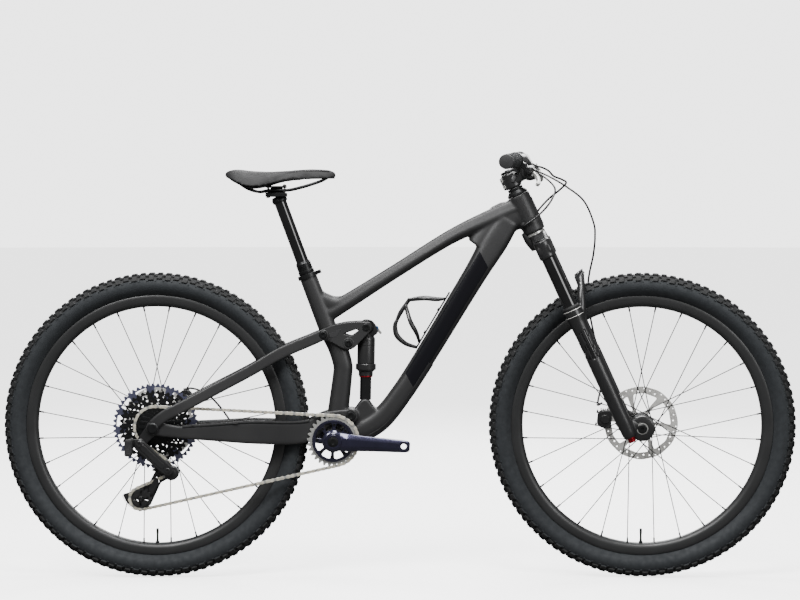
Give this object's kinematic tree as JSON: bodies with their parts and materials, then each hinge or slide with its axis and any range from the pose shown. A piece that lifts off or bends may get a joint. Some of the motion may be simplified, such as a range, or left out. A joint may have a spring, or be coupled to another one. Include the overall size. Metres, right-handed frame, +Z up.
{
  "type": "full suspension mountain bike",
  "caption": "Trail bicycle with front and rear suspension, dropper seatpost, disc brakes and a single-ring drivetrain; fork resting turned a few degrees to the right.",
  "frame": {"origin": "bottom centre of the bounding box, on the ground midway between the axles", "axes": "+X forward, +Y to the rider's left, +Z up"},
  "size_m": [1.9189, 0.7779, 1.0418],
  "materials": {
    "frame_paint": "matte graphite",
    "tyre_rubber": "moulded tread",
    "black_carbon": "satin",
    "black_alloy": "black anodised",
    "slate_alloy": "polished slate",
    "silver_steel": "nickel",
    "blue_alloy": "anodised",
    "grip_rubber": "ribbed",
    "saddle_cover": "matte synthetic",
    "hose_black": "smooth",
    "seal_rubber": "smooth",
    "red_alloy": "anodised"
  },
  "bodies": {
    "frame": {"main_frame": "frame_paint", "bottom_bracket": "black_alloy", "main_pivot_axle": "black_alloy", "rocker_pivot_axle": "black_alloy", "seat_clamp": "black_alloy", "bottle_cage": "black_carbon", "dropper_outer_tube": "black_alloy", "chain": "silver_steel", "rear_brake_hose": "hose_black", "dropper_cable": "hose_black"},
    "seatpost": {"dropper_sliding_post": "black_alloy", "saddle_clamp": "black_alloy", "saddle_rails": "black_alloy", "saddle": "saddle_cover"},
    "swingarm": {"chainstays": "frame_paint", "rear_axle": "black_alloy", "derailleur_base": "black_alloy"},
    "seatstays": {"seatstay_right": "frame_paint", "seatstay_left": "frame_paint", "rear_caliper": "black_alloy"},
    "rocker": {"rocker_link": "frame_paint"},
    "shock_shaft_body": {"shock_shaft": "black_alloy"},
    "shock_can_body": {"shock_air_can": "black_alloy"},
    "lockout_lever": {"shock_lockout_lever": "blue_alloy"},
    "rear_wheel": {"rear_tyre": "tyre_rubber", "rear_rim": "black_carbon", "rear_hub": "black_alloy", "rear_spokes_right": "black_alloy", "rear_spokes_left": "black_alloy", "rear_rotor": "silver_steel"},
    "front_wheel": {"front_tyre": "tyre_rubber", "front_rim": "black_carbon", "front_hub": "black_alloy", "front_spokes_right": "black_alloy", "front_spokes_left": "black_alloy", "front_rotor": "silver_steel"},
    "crank": {"crank_right": "slate_alloy", "crank_left": "slate_alloy", "chainring": "silver_steel"},
    "cassette": {"cassette": "black_alloy"},
    "derailleur_link": {"derailleur_link": "black_alloy"},
    "derailleur_knuckle": {"derailleur_knuckle": "black_alloy"},
    "derailleur_cage": {"derailleur_cage": "black_alloy"},
    "guide_pulley": {"guide_pulley": "black_alloy"},
    "tension_pulley": {"tension_pulley": "black_alloy"},
    "steerer": {"fork_crown_and_stanchions": "black_alloy", "stem": "black_alloy", "handlebar": "black_carbon", "grip_left": "grip_rubber", "grip_right": "grip_rubber", "brake_body_left": "black_alloy", "brake_body_right": "black_alloy", "front_brake_hose": "hose_black"},
    "fork_lowers": {"fork_lowers": "black_carbon", "front_axle": "black_alloy", "front_caliper": "black_alloy"},
    "brake_lever_left": {"brake_lever_left": "black_alloy"},
    "brake_lever_right": {"brake_lever_right": "black_alloy"},
    "shift_paddle_lever": {"shift_paddle": "black_alloy"},
    "dropper_remote_lever": {"dropper_remote_lever": "black_alloy"}
  },
  "joints": [
    {"name": "steering", "type": "hinge", "parent": "frame", "child": "steerer", "pos_m": [0.55216, 0, 0.35429], "axis": [-0.4179, 0, 0.9085], "range_deg": [-55.6, 64.4], "deforming": ["rear_brake_hose", "dropper_cable"]},
    {"name": "fork_travel", "type": "slide", "parent": "steerer", "child": "fork_lowers", "axis": [-0.4179, 0, 0.9085], "range_m": [0, 0.12], "stiffness_N_per_m": 3500, "springref_m": -0.05, "deforming": ["front_brake_hose"]},
    {"name": "front_wheel_spin", "type": "hinge", "parent": "fork_lowers", "child": "front_wheel", "pos_m": [0.58839, -0.00307, 0.37095], "axis": [0.0697, 0.9971, 0.0321], "continuous": true},
    {"name": "swingarm_pivot", "type": "hinge", "parent": "frame", "child": "swingarm", "pos_m": [-0.116, 0, 0.396], "axis": [0, 1, 0], "range_deg": [0, 14.5], "stiffness_Nm_per_rad": 2600, "springref_deg": -5, "deforming": ["chain"]},
    {"name": "seatstay_pivot", "type": "hinge", "parent": "swingarm", "child": "seatstays", "pos_m": [-0.5885, 0, 0.371], "axis": [0, 1, 0], "range_deg": [-3.9, 0]},
    {"name": "rocker_pivot", "type": "hinge", "parent": "frame", "child": "rocker", "pos_m": [-0.1218, 0, 0.5712], "axis": [0, 1, 0], "range_deg": [0, 54.52]},
    {"name": "shock_tilt", "type": "hinge", "parent": "frame", "child": "shock_shaft_body", "pos_m": [-0.082, 0, 0.425], "axis": [0, 1, 0], "range_deg": [0, 6.18]},
    {"name": "shock_stroke", "type": "slide", "parent": "shock_shaft_body", "child": "shock_can_body", "axis": [-0.0162, 0, -0.9999], "range_m": [0, 0.0502]},
    {"name": "lockout_turn", "type": "hinge", "parent": "shock_can_body", "child": "lockout_lever", "pos_m": [-0.055, 0, 0.607], "axis": [0, 1, 0], "range_deg": [-60, 0]},
    {"name": "rear_wheel_spin", "type": "hinge", "parent": "swingarm", "child": "rear_wheel", "pos_m": [-0.5885, 0, 0.371], "axis": [0, 1, 0], "continuous": true},
    {"name": "crank_spin", "type": "hinge", "parent": "frame", "child": "crank", "pos_m": [-0.158, 0, 0.337], "axis": [0, 1, 0], "continuous": true},
    {"name": "cassette_spin", "type": "hinge", "parent": "swingarm", "child": "cassette", "pos_m": [-0.5885, 0, 0.371], "axis": [0, 1, 0], "continuous": true},
    {"name": "shift_swing", "type": "hinge", "parent": "swingarm", "child": "derailleur_link", "pos_m": [-0.62, -0.089, 0.333], "axis": [0.685, 0, 0.7285], "range_deg": [-10, 11], "deforming": ["chain"]},
    {"name": "knuckle_swing", "type": "hinge", "parent": "derailleur_link", "child": "derailleur_knuckle", "pos_m": [-0.553, -0.089, 0.27], "axis": [0.685, 0, 0.7285], "range_deg": [-11, 10], "deforming": ["chain"]},
    {"name": "cage_swing", "type": "hinge", "parent": "derailleur_knuckle", "child": "derailleur_cage", "pos_m": [-0.546, 0, 0.262], "axis": [0, 1, 0], "range_deg": [-55, 50], "deforming": ["chain"]},
    {"name": "guide_pulley_spin", "type": "hinge", "parent": "derailleur_cage", "child": "guide_pulley", "pos_m": [-0.572, 0, 0.272], "axis": [0, 1, 0], "continuous": true},
    {"name": "tension_pulley_spin", "type": "hinge", "parent": "derailleur_cage", "child": "tension_pulley", "pos_m": [-0.623, 0, 0.197], "axis": [0, 1, 0], "continuous": true},
    {"name": "seatpost_drop", "type": "slide", "parent": "frame", "child": "seatpost", "axis": [-0.3469, 0, 0.9379], "range_m": [-0.15, 0], "stiffness_N_per_m": 400, "springref_m": 0.25},
    {"name": "brake_lever_left_pull", "type": "hinge", "parent": "steerer", "child": "brake_lever_left", "pos_m": [0.34437, 0.19397, 0.98953], "axis": [0.6573, 0.0281, 0.7531], "range_deg": [0, 18], "stiffness_Nm_per_rad": 0.6, "springref_deg": -10},
    {"name": "dropper_remote_press", "type": "hinge", "parent": "steerer", "child": "dropper_remote_lever", "pos_m": [0.30088, 0.17014, 0.98893], "axis": [0.9763, 0.057, -0.2087], "range_deg": [0, 14], "stiffness_Nm_per_rad": 0.3, "springref_deg": -10},
    {"name": "brake_lever_right_pull", "type": "hinge", "parent": "steerer", "child": "brake_lever_right", "pos_m": [0.31659, -0.20342, 0.97676], "axis": [-0.6436, 0.1673, -0.7468], "range_deg": [0, 18], "stiffness_Nm_per_rad": 0.6, "springref_deg": -10},
    {"name": "shift_paddle_press", "type": "hinge", "parent": "steerer", "child": "shift_paddle_lever", "pos_m": [0.27683, -0.17378, 0.97787], "axis": [-0.9598, 0.1787, 0.2163], "range_deg": [0, 14], "stiffness_Nm_per_rad": 0.3, "springref_deg": -10}
  ],
  "couplings": [
    {"joint": "seatstay_pivot", "follows": "swingarm_pivot", "ratio": -0.26733},
    {"joint": "rocker_pivot", "follows": "swingarm_pivot", "ratio": 3.7568},
    {"joint": "shock_tilt", "follows": "swingarm_pivot", "ratio": 0.42247},
    {"joint": "shock_stroke", "follows": "swingarm_pivot", "m_per_rad": 0.19797},
    {"joint": "cassette_spin", "follows": "crank_spin", "ratio": 1.25},
    {"joint": "guide_pulley_spin", "follows": "crank_spin", "ratio": -2.761},
    {"joint": "tension_pulley_spin", "follows": "crank_spin", "ratio": 2.25},
    {"joint": "knuckle_swing", "follows": "shift_swing", "ratio": -1},
    {"joint": "cage_swing", "follows": "shift_swing", "ratio": -5}
  ]
}
